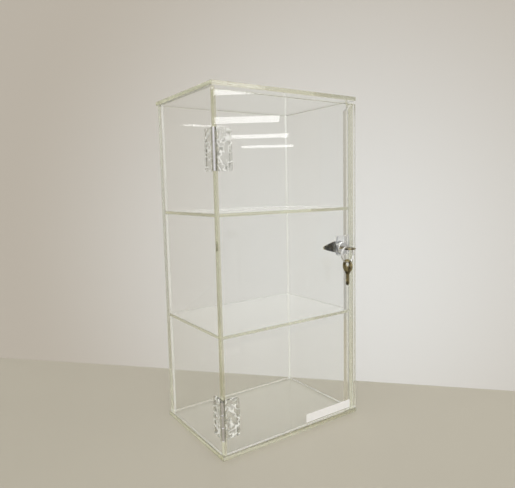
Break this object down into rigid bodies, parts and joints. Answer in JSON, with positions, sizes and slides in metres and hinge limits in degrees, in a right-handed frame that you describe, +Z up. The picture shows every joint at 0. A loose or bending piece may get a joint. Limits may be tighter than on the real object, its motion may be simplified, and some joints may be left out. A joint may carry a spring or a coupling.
{
  "type": "acrylic display tower",
  "caption": "Upright clear acrylic showcase with fixed shelves, a hinged front door on clear moulded hinges, and a cam lock with its keys on a ring.",
  "frame": {"origin": "centre of the base panel's underside, on the surface that the tower stands on", "axes": "+Z up, +Y to the back, the door faces -Y, +X to the right of someone facing the door"},
  "size_m": [0.2584, 0.2085, 0.508],
  "materials": {
    "clear_sheet": "clear acrylic sheet, polished faces and slightly straw-tinted edges",
    "hinge_plastic": "clear moulded acrylic",
    "pin_steel": "bright drawn steel",
    "lock_chrome": "chrome-plated die casting",
    "lock_steel": "zinc-plated steel, darkened",
    "plug_metal": "nickel-plated, brushed face",
    "wafer_brass": "stamped brass",
    "key_brass": "worn nickel over brass, dull olive",
    "ring_steel": "bright spring steel wire"
  },
  "bodies": {
    "case": {"base_panel": "clear_sheet", "top_panel": "clear_sheet", "left_panel": "clear_sheet", "right_panel": "clear_sheet", "back_panel": "clear_sheet", "lock_stile": "clear_sheet", "lower_shelf": "clear_sheet", "upper_shelf": "clear_sheet", "lower_hinge_frame_leaf": "hinge_plastic", "upper_hinge_frame_leaf": "hinge_plastic", "lower_hinge_pin": "pin_steel", "upper_hinge_pin": "pin_steel"},
    "door": {"door_panel": "clear_sheet", "lower_hinge_door_leaf": "hinge_plastic", "upper_hinge_door_leaf": "hinge_plastic", "lock_block": "clear_sheet", "lock_body": "lock_chrome", "lock_washer": "lock_steel", "lock_nut": "lock_steel"},
    "plug": {"lock_plug": "plug_metal", "wafer_tumblers": "wafer_brass", "lock_cam": "lock_steel", "cam_screw": "lock_steel"},
    "key": {"lock_key": "key_brass"},
    "ring": {"key_ring": "ring_steel"},
    "hanging_key": {"spare_key": "key_brass"}
  },
  "joints": [
    {"name": "door_swing", "type": "hinge", "parent": "case", "child": "door", "pos_m": [-0.1279, -0.0919, 0.2405], "axis": [0, 0, -1], "range_deg": [0, 260]},
    {"name": "lock_turn", "type": "hinge", "parent": "door", "child": "plug", "pos_m": [0.0945, -0.095, 0.2765], "axis": [0, -1, 0], "range_deg": [0, 180]},
    {"name": "key_slide", "type": "slide", "parent": "plug", "child": "key", "axis": [0, -1, 0], "range_m": [0, 0.022]},
    {"name": "ring_swing", "type": "hinge", "parent": "key", "child": "ring", "pos_m": [0.08787, -0.1098, 0.2765], "axis": [0, 1, 0], "range_deg": [0, 180]},
    {"name": "spare_key_swing", "type": "hinge", "parent": "ring", "child": "hanging_key", "pos_m": [0.08787, -0.1098, 0.25623], "axis": [1, 0, 0], "range_deg": [-35, 18]}
  ],
  "couplings": [
    {"joint": "ring_swing", "follows": "lock_turn", "ratio": 1}
  ]
}
